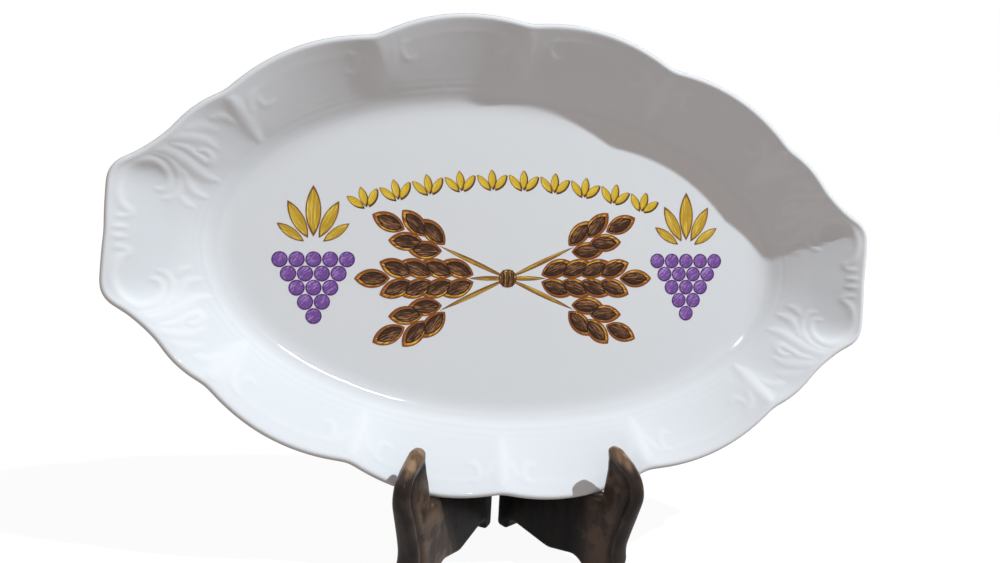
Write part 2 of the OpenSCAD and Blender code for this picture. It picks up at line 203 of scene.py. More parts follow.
def ring_faces(rings, around):
    """Four-cornered faces between neighbouring closed rings, each with the same number of points."""
    k, i = np.meshgrid(np.arange(rings - 1), np.arange(around), indexing="ij")
    j = (i + 1) % around
    corners = [k * around + i, (k + 1) * around + i, (k + 1) * around + j, k * around + j]
    return np.stack(corners, -1).reshape(-1, 4).tolist()


def fan(hub, ring):
    """Triangles from one hub point to a closed ring of indices."""
    return np.stack([np.full(len(ring), hub), ring, np.roll(ring, -1)], 1).tolist()


# %% [markdown]
# The camera stands close to the platter, a little to its left and above, as a telephone does. Its place
# and turn come from fitting the scallops of the edge and the ends to the picture. Its back vector is made
# by the same function that places the lamps later.

# %% Camera
IMAGE_WIDTH = 1000
FOCAL_PIXELS = 745.6
SENSOR_MM = 36
RIM_MIDDLE = np.array([0.0, 0.749, 167.394])
CAMERA_FROM_RIM = [-73.3, -374.1, 55.7]
CAMERA_AZIMUTH, CAMERA_ELEVATION, CAMERA_ROLL = -9.84, 10.09, 2.95


def outward_to(azimuth, elevation):
    """Unit vector, from its angle to the right of the front and its angle above the table in degrees."""
    a, e = math.radians(azimuth), math.radians(elevation)
    return Vector((math.sin(a) * math.cos(e), -math.cos(a) * math.cos(e), math.sin(e)))


back = outward_to(CAMERA_AZIMUTH, CAMERA_ELEVATION)
level = Vector((0, 0, 1)).cross(back).normalized()
upright = back.cross(level)
roll = math.radians(CAMERA_ROLL)
right_hand = level * math.cos(roll) + upright * math.sin(roll)
overhead = upright * math.cos(roll) - level * math.sin(roll)

camera = bpy.data.objects.new("camera", bpy.data.cameras.new("camera"))
camera.data.sensor_width = SENSOR_MM
camera.data.lens = FOCAL_PIXELS * SENSOR_MM / IMAGE_WIDTH
camera.data.clip_start = 0.01
camera.matrix_world = Matrix.Translation(Vector((RIM_MIDDLE + CAMERA_FROM_RIM) * MM)) @ Matrix(
    (right_hand, overhead, back)).transposed().to_4x4()
bpy.context.scene.collection.objects.link(camera)
bpy.context.scene.camera = camera
bpy.context.scene.view_settings.view_transform = "Standard"
print("Lens in millimetres:", round(camera.data.lens, 2))

# %% [markdown]
# Shader maths reads best as plain sums. A Wire holds one socket of one material, and each operator on it
# adds a Math node. Every other node comes from one method, which sets the node's settings first and then
# its sockets, from a number, a colour or another Wire.

# %% Wires and finishes
class Wire:
    """A socket of a finish that can be used in sums."""

    def __init__(self, finish, socket):
        self.finish, self.socket = finish, socket

    def math(self, operation, *others):
        inputs = dict(enumerate((self,) + others))
        return self.finish.node("ShaderNodeMath", {"operation": operation}, inputs).out()

    def __add__(self, other):
        return self.math("ADD", other)

    def __sub__(self, other):
        return self.math("SUBTRACT", other)

    def __mul__(self, other):
        return self.math("MULTIPLY", other)

    def __rsub__(self, other):
        return (self * -1) + other

    __radd__, __rmul__ = __add__, __mul__

    def clamp(self):
        return self.math("MAXIMUM", 0.0).math("MINIMUM", 1.0)

    def above(self, low, high):
        """Rises smoothly from 0 at low to 1 at high."""
        share = ((self - low) * (1 / (high - low))).clamp()
        return share * share * (3 - share * 2)


class Made:
    """A node that was just made, with its outputs as Wires."""

    def __init__(self, finish, node):
        self.finish, self.node = finish, node

    def out(self, name=0):
        return Wire(self.finish, self.node.outputs[name])


class Finish:
    """One material, or the world, and the nodes that it is built from."""

    def __init__(self, name, owner=None):
        self.material = owner or bpy.data.materials.new(name)
        self.material.use_nodes = True
        self.tree = self.material.node_tree
        self.tree.nodes.clear()

    def node(self, kind, settings=None, inputs=None):
        made = self.tree.nodes.new(kind)
        for key, value in (settings or {}).items():
            setattr(made, key, value)
        for key, value in (inputs or {}).items():
            if isinstance(value, Wire):
                self.tree.links.new(value.socket, made.inputs[key])
            else:
                made.inputs[key].default_value = value
        return Made(self, made)

    def mark(self, name, output="Fac"):
        return self.node("ShaderNodeAttribute", {"attribute_name": name}).out(output)

    def place(self):
        return self.node("ShaderNodeTexCoord").out("Object")

    def stretch(self, vector, scale):
        return self.node("ShaderNodeMapping", {}, {"Vector": vector, "Scale": scale}).out()

    def noise(self, vector, scale, detail=3.0, rough=0.5):
        return self.node("ShaderNodeTexNoise", {}, {
            "Vector": vector, "Scale": scale, "Detail": detail, "Roughness": rough}).out()

    def mix(self, share, low, high):
        return self.node("ShaderNodeMix", {"data_type": "RGBA"}, {0: share, 6: low, 7: high}).out(2)

    def bump(self, height, strength, distance):
        return self.node("ShaderNodeBump", {}, {
            "Height": height, "Strength": strength, "Distance": distance}).out()

    def shade(self, inputs):
        """Ends the finish with one Principled shader that has these values and links."""
        surface = self.node("ShaderNodeBsdfPrincipled", {}, inputs).out()
        self.node("ShaderNodeOutputMaterial", {}, {"Surface": surface})
        print("Finish", self.material.name, "has", len(self.tree.nodes), "nodes")
        return self.material


def tint(red, green, blue):
    return (red, green, blue, 1)


# %% [markdown]
# Glazed porcelain is white clay under a thin layer of glass. The clay gives the soft white, the glass a
# sharp reflection that wavers a little, and a faint blue grey where glaze has run together in the
# hollows of the relief. The foot ring underneath is wiped clean before firing and stays rough and warm.
# The mark named relief says how far the clay is raised, and plain clay has a mark of its own.

# %% Porcelain
PLAIN_CLAY = 0.35
glaze = Finish("glazed_porcelain")
spot = glaze.place()
cloud = glaze.noise(spot, 14.0, 4.0)
hollow = glaze.mark("relief").above(-0.25, PLAIN_CLAY)
foot_bare = glaze.mark("bare_foot")
clay = glaze.mix(cloud, tint(0.78, 0.795, 0.81), tint(0.815, 0.825, 0.835))
clay = glaze.mix(hollow, glaze.mix(0.6, clay, tint(0.70, 0.725, 0.75)), clay)
clay = glaze.mix(foot_bare, clay, tint(0.66, 0.60, 0.51))
waver = glaze.noise(spot, 55.0, 2.0) + glaze.noise(spot, 420.0, 2.0) * 0.12
porcelain = glaze.shade({
    "Base Color": clay,
    "Roughness": (glaze.noise(spot, 90.0, 5.0) * 0.04 + 0.03) + foot_bare * 0.5,
    "IOR": 1.5,
    "Normal": glaze.bump(waver, 0.10, 0.0012)})

# %% [markdown]
# The edge of the platter is one closed curve. Its scallops are arcs between seven points of a quarter,
# and the curve is mirrored to the other quarters. Real clay has no sharp cusps, so the curve is
# averaged over a few millimetres with a bell-shaped weight, which is quick as a product of
# frequencies. More points go to the two ends, where the relief is fine.

# %% Scalloped edge
HALF_LENGTH, HALF_WIDTH = 200.0, 122.0
EDGE_SHARES = np.array([[0.9975, 0, 0.012], [1, 0.172, 0.2], [0.95, 0.303, -0.03],
    [0.862, 0.424, 0.07], [0.7475, 0.586, 0.1], [0.395, 0.879, 0.102], [0, 1, 0]])
ARC_STEPS, EDGE_SAMPLES, AROUND = 80, 4096, 1040
CUSP_SOFTNESS = 2.9
END_START, END_BLEND, END_EXTRA = 135, 25, 0.7


def walk(path, count, weight=None):
    """Points at even steps along a closed path, with steps shorter where the weight is higher."""
    loop = np.vstack([path, path[:1]])
    step = np.linalg.norm(np.diff(loop, axis=0), axis=1)
    if weight is not None:
        step = step * weight
    mile = np.concatenate([[0], np.cumsum(step)])
    goal = np.arange(count) / count * mile[-1]
    return np.stack([np.interp(goal, mile, loop[:, k]) for k in range(loop.shape[1])], 1)


def scalloped_edge():
    """Arc between two anchors: the chord plus outward times 4 x bulge x chord x t x (1 - t)."""
    anchors = EDGE_SHARES[:, :2] * [HALF_LENGTH, HALF_WIDTH]
    t = np.linspace(0, 1, ARC_STEPS, endpoint=False)[:, None]
    arcs = []
    for a, b, bulge in zip(anchors[:-1], anchors[1:], EDGE_SHARES[:-1, 2]):
        chord = np.linalg.norm(b - a)
        outward = np.array([b[1] - a[1], a[0] - b[0]]) / chord
        arcs.append(a + (b - a) * t + outward * 4 * bulge * chord * t * (1 - t))
    quarter = np.concatenate(arcs)
    return np.concatenate([quarter, [[0, HALF_WIDTH]], quarter[:0:-1] * [-1, 1], quarter * [-1, -1],
        [[0, -HALF_WIDTH]], quarter[:0:-1] * [1, -1]])


rough_edge = walk(scalloped_edge(), EDGE_SAMPLES)
edge_length = np.linalg.norm(np.roll(rough_edge, -1, 0) - rough_edge, axis=1).sum()
waves = np.fft.fftfreq(EDGE_SAMPLES, edge_length / EDGE_SAMPLES)
bell = np.exp(-2 * (math.pi * waves * CUSP_SOFTNESS) ** 2)[:, None]
smooth_edge = np.fft.ifft(np.fft.fft(rough_edge, axis=0) * bell, axis=0).real
end_weight = 1 + END_EXTRA * np.clip((np.abs(smooth_edge[:, 0]) - END_START) / END_BLEND, 0, 1)
edge = walk(smooth_edge, AROUND, end_weight)
along = np.roll(edge, -1, 0) - np.roll(edge, 1, 0)
along /= np.linalg.norm(along, axis=1, keepdims=True)
outward = np.stack([along[:, 1], -along[:, 0]], 1)
print("Edge", round(edge_length), "mm long, half length and width", edge.max(0).round(2))

# %% [markdown]
# The relief is made of strokes, as a modeller rolls thin ropes of clay and presses them on. A stroke is
# a smooth curve through a few points, and it raises the clay by a bell-shaped ridge that thins out
# at both ends. One quarter is described, at the left end of the upper side, and the other three mirror it.
# The scrolls of the handle end come first. Then each notch has a fold with two leaflets, bolder at the
# outer notch, and each lobe between two notches has a faint border with a curl at both ends. A handle
# end is also sunk a little, as a soft-edged oval.

# %% Curves and ridges
def flow(corners, count=28):
    """A smooth curve through the corners: each coordinate is a Catmull-Rom blend of four neighbours."""
    p = np.asarray(corners, float)
    p = np.vstack([2 * p[0] - p[1], p, 2 * p[-1] - p[-2]])
    t = np.linspace(0, len(p) - 3, count)
    k = np.minimum(t.astype(int), len(p) - 4)
    f = (t - k)[:, None]
    a, b, c, d = p[k], p[k + 1], p[k + 2], p[k + 3]
    square, cube = 2 * a - 5 * b + 4 * c - d, 3 * b - a - 3 * c + d
    return 0.5 * (2 * b + (c - a) * f + square * f ** 2 + cube * f ** 3)


def nearest(path, spots):
    """Distance of each spot from the path, and the share of its length at the nearest point."""
    a, step = path[:-1], np.diff(path, axis=0)
    reach = spots[:, None] - a[None]
    size = np.linalg.norm(step, axis=1)
    t = np.clip((reach * step).sum(2) / size ** 2, 0, 1)
    gap = np.linalg.norm(reach - t[..., None] * step, axis=2)
    best = gap.argmin(1)
    row = np.arange(len(spots))
    mile = np.concatenate([[0], np.cumsum(size)])
    return gap[row, best], (mile[best] + t[row, best] * size[best]) / mile[-1]


BLUNT_END = 0.5


def stroke(spots, corners, width, height):
    """Ridge height x exp(-(distance / width)^2), thinner and lower towards both ends."""
    path = flow(corners)
    near = (spots > path.min(0) - 3 * width).all(1) & (spots < path.max(0) + 3 * width).all(1)
    rise = np.zeros(len(spots))
    gap, share = nearest(path, spots[near])
    taper = BLUNT_END + (1 - BLUNT_END) * np.sin(math.pi * np.clip(share, 0, 1)) ** 0.6
    rise[near] = height * taper * np.exp(-(gap / (width * taper)) ** 2)
    return rise


# %% Strokes of a handle end
END_STROKES = [
    (2.2, 0.56, [(-194, 7.4), (-190.6, 7.6), (-188.9, 9.8), (-191.6, 12.2), (-194, 16), (-195, 21),
        (-193.6, 26), (-190.5, 30.5), (-186.5, 33.6), (-182, 35), (-178, 34.2), (-175.3, 31.5),
        (-173.9, 28), (-174.2, 24.6), (-176.3, 22.2), (-179, 22)]),
    (2.0, 0.42, [(-181.6, 38.4), (-176.7, 38), (-172.5, 35.8), (-170.2, 31.6), (-169.6, 26.4),
        (-170.6, 22), (-173, 18.9), (-176.3, 17.6)]),
    (2.9, 0.52, [(-182, 40.4), (-176, 40), (-171, 38.6), (-166.5, 36.2), (-162.5, 33.4),
        (-158.5, 30.8), (-153.5, 29.6)]),
    (2.3, 0.46, [(-168, 32.5), (-166.6, 27), (-163.6, 22.8), (-158, 20.6)]),
    (1.9, 0.30, [(-169, 20), (-166.8, 17), (-163, 15)]),
    (2.0, 0.46, [(-172, 43.6), (-166, 42.6), (-161.5, 39.8), (-157.8, 37.8), (-155.6, 39.6),
        (-157.6, 42.6), (-161, 42.2)]),
    (2.5, 0.38, [(-174, 46), (-168, 47), (-162.7, 48), (-157.6, 47.4), (-153.6, 45.2)]),
    (2.5, 0.30, [(-166.5, 51), (-160, 53.4), (-153.6, 53.4)]),
    (1.3, 0.45, [(-197, 2.2), (-190, 2.4)]),
]
print(len(END_STROKES), "strokes at a handle end, each with its width, height and corners")

# %% Strokes of the notches and lobes
NOTCHES = [(-149.5, 71.5), (-79, 107.2), (0, 121)]
FOLD_WIDTH, LEAFLET_WIDTH = 4.2, 2.2
BOLD_HEIGHTS, FAINT_HEIGHTS = (0.95, 0.4), (0.4, 0.2)
CURL_WIDTH, BORDER_HEIGHT, CURL_HEIGHT = 1.6, 0.08, 0.24


def inward_at(spot):
    """Unit vector towards the middle, square to an oval through the spot."""
    inward = -spot / [HALF_LENGTH ** 2, HALF_WIDTH ** 2]
    return inward / np.linalg.norm(inward)


def notch_strokes(notch):
    """A fold from the notch inwards, and two leaflets that open outwards from its inner end."""
    notch = np.array(notch, float)
    inward = inward_at(notch)
    side = np.array([inward[1], -inward[0]])
    spots = lambda rows: [notch + inward * deep + side * off for deep, off in rows]
    fold, leaflet = BOLD_HEIGHTS if notch[0] < -HALF_LENGTH / 2 else FAINT_HEIGHTS
    return [(FOLD_WIDTH, fold, spots([(4, 0), (12, 0), (24, 0)])),
        (LEAFLET_WIDTH, leaflet, spots([(19, 1), (14, 4), (9, 8), (7, 13)])),
        (LEAFLET_WIDTH, leaflet, spots([(19, -1), (14, -4), (9, -8), (7, -13)]))]


def lobe_strokes(first, second, inset=8.5):
    """A faint border ridge along one lobe, which ends in a small curl at each side."""
    corner = lambda share: smooth_edge[np.argmin(np.linalg.norm(smooth_edge - share, axis=1))]
    first, second = np.array(first, float), np.array(second, float)
    ridge = []
    for share in (0.22, 0.36, 0.5, 0.64, 0.78):
        spot = corner(first + (second - first) * share)
        ridge.append(spot + inward_at(spot) * inset)
    run = (ridge[-1] - ridge[0]) / np.linalg.norm(ridge[-1] - ridge[0])
    drop = np.array([run[1], -run[0]])
    head = [ridge[0] + run * a + drop * b for a, b in ((3, 7), (-1, 8), (-4, 5), (-3.5, 1.5))]
    tail = [ridge[-1] + run * a + drop * b for a, b in ((3.5, 1.5), (4, 5), (1, 8), (-3, 7))]
    return [(CURL_WIDTH, BORDER_HEIGHT, head[2:] + ridge + tail[:2]),
        (CURL_WIDTH, CURL_HEIGHT, head + ridge[:1]), (CURL_WIDTH, CURL_HEIGHT, ridge[-1:] + tail)]


strokes = list(END_STROKES)
for notch in NOTCHES:
    strokes += notch_strokes(notch)
for first, second in zip(NOTCHES[:-1], NOTCHES[1:]):
    strokes += lobe_strokes(first, second)
print(len(strokes), "strokes in a quarter")

# %% Height of the relief
PANEL_MIDDLE, PANEL_RADII, PANEL_DROP = 182, (13, 36), 0.3
PANEL_SHARE, PANEL_SHARPNESS = 0.8, 8


def relief(spots):
    """The highest ridge at each spot, after folding all four quarters onto the upper left one."""
    folded = np.stack([-np.abs(spots[:, 0]), np.abs(spots[:, 1])], 1)
    rise = np.zeros(len(spots))
    for width, height, corners in strokes:
        rise = np.maximum(rise, stroke(folded, corners, width, height))
    return rise


def panel(spots):
    """From 0 outside to 1 inside a handle end's oval: 1 / (1 + exp(sharpness x (distance - share)))."""
    away = np.hypot((np.abs(spots[:, 0]) - PANEL_MIDDLE) / PANEL_RADII[0], spots[:, 1] / PANEL_RADII[1])
    return 1 / (1 + np.exp((away - PANEL_SHARE) * PANEL_SHARPNESS))


print("Relief at the curl of a handle end:", relief(np.array([[-182.0, 35.0]])).round(2), "mm")

# %% [markdown]
# The whole platter is one closed skin, made of rings that follow the edge. From the middle of the floor
# the rings go out over the cove and the rim, round the lip, back along the underside and in under the
# foot ring. A ring has a place in plan and a height, so each stretch of the skin is one short formula.
# The cove bends late, close to the crease where the rim starts, because the shade in the real well has
# a sharp edge nearly up to there. The solid's cove is a little shallower.

# %% Rings of the platter
FLOOR, CREASE = np.array([138.0, 74.0]), np.array([158.0, 90.0])
FLOOR_Z, CREASE_RISE, CREASE_SLOPE, WALL, FOOT = 6.0, 3.5, 11.0, 4.5, 2.0
EDGE_Z, LIP, LIP_SLOPE, LIP_TURN = 30, 2.0, math.radians(28), 1.2
FOOT_PROFILE = [(7, 3.2), (5.2, FOOT), (5, 0.8), (4.3, 0.15), (3.2, 0), (1.8, 0), (0.7, 0.15), (0.1, 0.8),
    (-0.3, FOOT), (-5, FOOT)]
bearing = np.arctan2(edge[:, 1] / HALF_WIDTH, edge[:, 0] / HALF_LENGTH)
compass = np.stack([np.cos(bearing), np.sin(bearing)], 1)
crease_z = FLOOR_Z + CREASE_RISE
lip_start = edge - outward * LIP * (1 + math.sin(LIP_SLOPE))
lip_start_z = EDGE_Z - LIP + LIP * math.cos(LIP_SLOPE)


def level_ring(plan, z):
    return np.column_stack([plan, np.broadcast_to(z, len(plan))])


def rim_plan(share):
    return compass * CREASE + (lip_start - compass * CREASE) * share


def rim_z(share):
    """From the crease to the lip, a little steeper at first: 1 - (1 - share)^1.03 of the rise."""
    return crease_z + (lip_start_z - crease_z) * (1 - (1 - share) ** 1.03)


def cove_z(t):
    """A smooth bend in u = t^2, so it comes late in t, and meets the rim at the rim's own slope."""
    u = t ** 2
    return FLOOR_Z + CREASE_RISE * (3 * u ** 2 - 2 * u ** 3) + CREASE_SLOPE / 2 * (u ** 3 - u ** 2)


floor_rings = [level_ring(compass * FLOOR * r, FLOOR_Z) for r in (0.02, 0.35, 0.7, 0.92, 1)]
cove_rings = [level_ring(compass * (FLOOR + (CREASE - FLOOR) * t), cove_z(t))
    for t in np.linspace(0, 1, 9)[1:]]
rim_rings = [level_ring(rim_plan(s), rim_z(s)) for s in np.linspace(0, 1, 46)[1:]]
lip_rings = [level_ring(edge + outward * LIP * (math.cos(w) - 1), EDGE_Z - LIP + LIP * math.sin(w))
    for w in np.linspace(math.pi / 2 + LIP_SLOPE, -LIP_TURN, 14)[1:]]
back_rings = [level_ring(rim_plan(s), rim_z(s) - WALL) for s in (0.93, 0.85, 0.7, 0.5, 0.3, 0.12)]
foot_rings = [level_ring(compass * (FLOOR + grow), z) for grow, z in FOOT_PROFILE]
under_rings = [level_ring(compass * (FLOOR - 5) * r, FOOT) for r in (0.7, 0.35, 0.02)]
skin = np.stack(floor_rings + cove_rings + rim_rings + lip_rings + back_rings + foot_rings + under_rings)
print("Rings of the skin:", skin.shape)

# %% [markdown]
# The relief is added to the rim and the last rings of the cove, and fades out towards the lip. Three fine
# steps follow the crease, as the model for such a platter is turned with a profile tool.

# %% Raise the relief and build the platter
CREASE_STEPS, STEP_WIDTH = ((0.5, 0.14), (4.0, 0.07), (7.0, 0.05)), 1.1
COVE_SHARE, FADE_RINGS = 3, 4
crease_ring = len(floor_rings) + len(cove_rings)
front = slice(crease_ring - COVE_SHARE, crease_ring + len(rim_rings))
rim_points = skin[front].reshape(-1, 3)
rise = relief(rim_points[:, :2]).reshape(-1, AROUND)
crease_gap = np.linalg.norm(skin[front][..., :2] - (compass * CREASE), axis=2)
crease_gap[:COVE_SHARE] *= -1
for off, height in CREASE_STEPS:
    rise = np.maximum(rise, height * np.exp(-((crease_gap - off) / STEP_WIDTH) ** 2))
rise -= PANEL_DROP * panel(rim_points[:, :2]).reshape(-1, AROUND)
fade = np.clip((len(rise) - 1 - np.arange(len(rise))) / FADE_RINGS, 0, 1)[:, None]
skin[front][..., 2] += rise * fade
raised = np.full(skin.shape[:2], PLAIN_CLAY)
raised[front] = rise * fade
bare = np.zeros(skin.shape[:2])
bare[-len(under_rings) - len(foot_rings):-len(under_rings)] = [[z < FOOT / 4] for _, z in FOOT_PROFILE]
hubs = np.array([[0, 0, FLOOR_Z], [0, 0, FOOT]])
count = skin.shape[0] * AROUND
platter_faces = ring_faces(skin.shape[0], AROUND)
platter_faces += fan(count, np.arange(AROUND)) + fan(count + 1, count - 1 - np.arange(AROUND))
add_piece("platter", on_stand(np.vstack([skin.reshape(-1, 3), hubs])), platter_faces,
    "platter", porcelain, "porcelain", ["platter_body"],
    {"relief": np.append(raised.ravel(), [PLAIN_CLAY] * 2), "bare_foot": np.append(bare.ravel(), [0, 0])})

# %% [markdown]
# A thin line of gold paint runs along the outermost part of the lip. After years of washing it is worn
# to a dull olive, and the white shows through where hands and shelves rub it. It is a closed band that
# follows the round of the lip, a hair above the glaze, with its back sunk into the clay.

# %% Worn gilt line
gilt = Finish("worn_gilt")
spot = gilt.place()
worn = gilt.noise(spot, 60.0, 4.0, 0.65).above(0.53, 0.70)
worn = (worn + gilt.noise(spot, 500.0, 2.0).above(0.60, 0.72) * 0.5).clamp()
gilt_finish = gilt.shade({
    "Base Color": gilt.mix(worn, tint(0.36, 0.30, 0.17), tint(0.70, 0.70, 0.66)),
    "Metallic": (1 - worn) * 0.7,
    "Roughness": 0.34 + worn * 0.1,
    "Normal": gilt.bump(gilt.noise(spot, 700.0, 2.0), 0.15, 0.0002)})

# %% Band of gilt
BAND, GILT_RISE, GILT_SUNK = math.radians(24), 0.13, 0.25
swell = np.sin(np.linspace(0.25, math.pi - 0.25, 7))
angles = np.concatenate([np.linspace(BAND, -BAND, len(swell)), [-BAND * 0.8, BAND * 0.8]])
radii = np.concatenate([LIP + GILT_RISE * swell, [LIP - GILT_SUNK] * 2])
band = np.stack([level_ring(edge + outward * (r * math.cos(w) - LIP), EDGE_Z - LIP + r * math.sin(w))
    for w, r in zip(angles, radii)])
band_faces = ring_faces(len(band), AROUND)
last_ring = (len(band) - 1) * AROUND
i = np.arange(AROUND)
j = (i + 1) % AROUND
band_faces += np.stack([last_ring + i, i, j, last_ring + j], 1).tolist()
add_piece("gilt_line", on_stand(band.reshape(-1, 3)), band_faces, "platter", gilt_finish,
    "gilt", ["gilt_edge_line"])

# %% [markdown]
# The print is a coloured transfer, fired into the glaze. Each motif is a thin pad on the floor of the
# well, made as a fan of rings from its middle to its outline. Every point keeps its place in the
# motif, so one finish can draw the dark outline, the fine pen strokes and the highlight inside it.

# %% Finish of the print
def print_finish(name, hatch):
    """A light ink, a dark one for the outline and for pen strokes as strong as hatch, and a glint."""
    ink = Finish(name)
    spot = ink.mark("motif_spot", "Vector")
    parts = ink.node("ShaderNodeSeparateXYZ", {}, {"Vector": spot})
    along_motif, across, rim = parts.out("X"), parts.out("Y"), parts.out("Z")
    seed = ink.mark("motif_seed")
    shifted = ink.node("ShaderNodeCombineXYZ", {}, {
        "X": along_motif * 0.55 + seed * 9.0, "Y": across * 3.4, "Z": seed * 5.0}).out()
    streak = ink.noise(shifted, 2.6, 3.0, 0.6)
    side_shade = (across * -0.5 + 0.5).above(0.35, 1.0)
    outline = rim.above(0.80, 0.93)
    dark = (outline + (streak - 0.40 + side_shade * 0.16).above(0.03, 0.16) * hatch).clamp()
    glint = (streak * -1 + 0.66 + across * 0.08).above(0.18, 0.34) * (1 - outline)
    color = ink.mix(dark, ink.mark("light_ink", "Color"), ink.mark("dark_ink", "Color"))
    color = ink.mix(glint * 0.75, color, ink.mark("glint_ink", "Color"))
    waver = ink.noise(ink.place(), 300.0, 2.0)
    return ink.shade({"Base Color": color, "Roughness": 0.16, "IOR": 1.5,
        "Normal": ink.bump(waver, 0.06, 0.0004)})


wheat_finish = print_finish("wheat_ink", 0.85)
grape_finish = print_finish("grape_ink", 0.45)
gold_finish = print_finish("gold_ink", 0.35)

# %% Pads of the print
PRINT_TURN, PRINT_DROP, PRINT_SKIN, PRINT_SUNK = math.radians(3.7), 10.0, 0.15, -0.1
PAD_RINGS = np.array([0.35, 0.62, 0.8, 0.92, 1.0])
random = np.random.default_rng(7)


class Motifs:
    """Gathers pads until they become one piece."""

    def __init__(self):
        self.spots, self.faces, self.marks, self.count = [], [], [], 0
        self.layer = 0.03

    def pad(self, outline, middle, turn, inks, top=PRINT_SKIN):
        """Rings at shares of the way from the middle to the outline, then a wall down into the glaze."""
        around = len(outline)
        half = np.abs(outline).max(0)
        flat = (outline[None] * PAD_RINGS[:, None, None]).reshape(-1, 2)
        flat = np.vstack([flat, outline, [[0, 0], [0, 0]]])
        rim = np.concatenate([np.repeat(PAD_RINGS, around), np.ones(around), [0, 1]])
        z = np.concatenate([np.full(len(PAD_RINGS) * around, top), np.full(around, PRINT_SUNK),
            [top, PRINT_SUNK]])
        c, s = math.cos(turn), math.sin(turn)
        plan = flat @ np.array([[c, s], [-s, c]]) + middle
        c, s = math.cos(PRINT_TURN), math.sin(PRINT_TURN)
        plan = plan @ np.array([[c, s], [-s, c]]) - [0, PRINT_DROP]
        rings = len(PAD_RINGS) + 1
        faces = ring_faces(rings, around) + fan(rings * around, np.arange(around))
        faces += fan(rings * around + 1, (rings * around - 1) - np.arange(around))
        self.faces += [[v + self.count for v in face] for face in faces]
        self.spots.append(np.column_stack([plan, z + FLOOR_Z]))
        light, dark, glint = (np.tile(color, (len(plan), 1)) for color in inks)
        seed = np.full((len(plan), 1), random.random())
        self.marks.append(np.hstack([flat / half, rim[:, None], light, dark, glint, seed]))
        self.count += len(plan)

    def finish(self, name, material, slot, node):
        marks = np.vstack(self.marks)
        add_piece(name, on_stand(np.vstack(self.spots)), self.faces, "platter", material, slot, [node],
            {"motif_spot": marks[:, :3], "light_ink": marks[:, 3:6], "dark_ink": marks[:, 6:9],
                "glint_ink": marks[:, 9:12], "motif_seed": marks[:, 12]}, smooth=False)


def pointed_oval(length, width, around=40):
    """The overlap of two circles: half the width at u is sqrt(radius^2 - u^2) - (radius - width / 2)."""
    radius = (length ** 2 + width ** 2) / (4 * width)
    u = length / 2 * np.cos(np.linspace(0, math.pi, around // 2 + 1))
    v = np.sqrt(radius ** 2 - u ** 2) - (radius - width / 2)
    return np.column_stack([np.append(u, u[-2:0:-1]), np.append(v, -v[-2:0:-1])])


def disc(radius, around=28):
    w = np.linspace(0, 2 * math.pi, around, endpoint=False)
    return np.column_stack([np.cos(w), np.sin(w)]) * radius


# %% [markdown]
# In the middle stands a sheaf of six ears of wheat, tied at the waist. Brown grains lie in pairs along
# each stem, on a ground of orange and yellow that shows between them.

# %% Sheaf of wheat
BROWN_INKS = [(0.155, 0.060, 0.024), (0.030, 0.011, 0.006), (0.52, 0.25, 0.11)]
AMBER_INKS = [(0.80, 0.34, 0.045), (0.26, 0.075, 0.016), (0.93, 0.66, 0.08)]
STEM_INKS = [(0.72, 0.40, 0.045), (0.16, 0.055, 0.016), (0.90, 0.66, 0.12)]
GRAIN, GRAIN_WIDTH, GRAIN_PITCH = 15.0, 7.2, 11.0
EAR_TURN, GRAIN_TURN = math.radians(25), math.radians(22)
STEM_WIDTH, STEM_SKIN, KNOT_RADIUS, KNOT_SKIN, LAYER_STEP = 2.6, 0.02, 5.0, 0.14, 0.002
sheaf = Motifs()


def turned(spot, angle):
    return np.array([spot[0] * math.cos(angle) - spot[1] * math.sin(angle),
        spot[0] * math.sin(angle) + spot[1] * math.cos(angle)])


def ear(start, rows, angle):
    """The stem, then bracts in rising layers, then on each a grain: pairs, and one at the tip."""
    grains = [(start + row * GRAIN_PITCH, lane * GRAIN_WIDTH * 0.72, lane * GRAIN_TURN)
        for row in range(rows) for lane in (-1, 1)]
    grains.append((start + (rows + 0.15) * GRAIN_PITCH, 0.0, 0.0))
    stem = pointed_oval(start - GRAIN / 2 + 4, STEM_WIDTH)
    sheaf.pad(stem, turned((start / 2 - GRAIN / 4, 0), angle), angle, STEM_INKS, STEM_SKIN)
    bract = pointed_oval(GRAIN * 1.26, GRAIN_WIDTH * 1.42)
    for u, v, lean in grains:
        sheaf.layer += LAYER_STEP
        sheaf.pad(bract, turned((u + 0.6, v * 1.04), angle), angle + lean, AMBER_INKS, sheaf.layer)
    for u, v, lean in grains:
        sheaf.pad(pointed_oval(GRAIN, GRAIN_WIDTH), turned((u, v), angle), angle + lean, BROWN_INKS)


for side in (0, math.pi):
    for angle in (-EAR_TURN, EAR_TURN):
        ear(47.0, 2, side + angle)
    ear(27.0, 4, side)
sheaf.pad(disc(KNOT_RADIUS), (0, 0), 0.0, STEM_INKS, KNOT_SKIN)
for k in (-1, 0, 1):
    sheaf.pad(pointed_oval(9.4, 2.4), (k * 2.6, 0), math.pi / 2, BROWN_INKS)
sheaf.finish("wheat_sheaf", wheat_finish, "wheat_print", "print_wheat_centre")

# %% [markdown]
# At each side hangs a cluster of purple grapes under a fan of golden vine leaves.

# %% Grape clusters
GRAPE_INKS = [(0.27, 0.115, 0.44), (0.075, 0.022, 0.16), (0.58, 0.40, 0.76)]
LEAF_INKS = [(0.80, 0.52, 0.035), (0.24, 0.095, 0.02), (0.93, 0.75, 0.20)]
GRAPE_PITCH, GRAPE_RADIUS, VINE_LEAF, CLUSTER_SPOT = 8.6, 4.15, 27.0, (103.5, 10.0)
FAN_OF_LEAVES = ((35, 0.62), (62, 0.82), (90, 1.0), (118, 0.82), (145, 0.62))


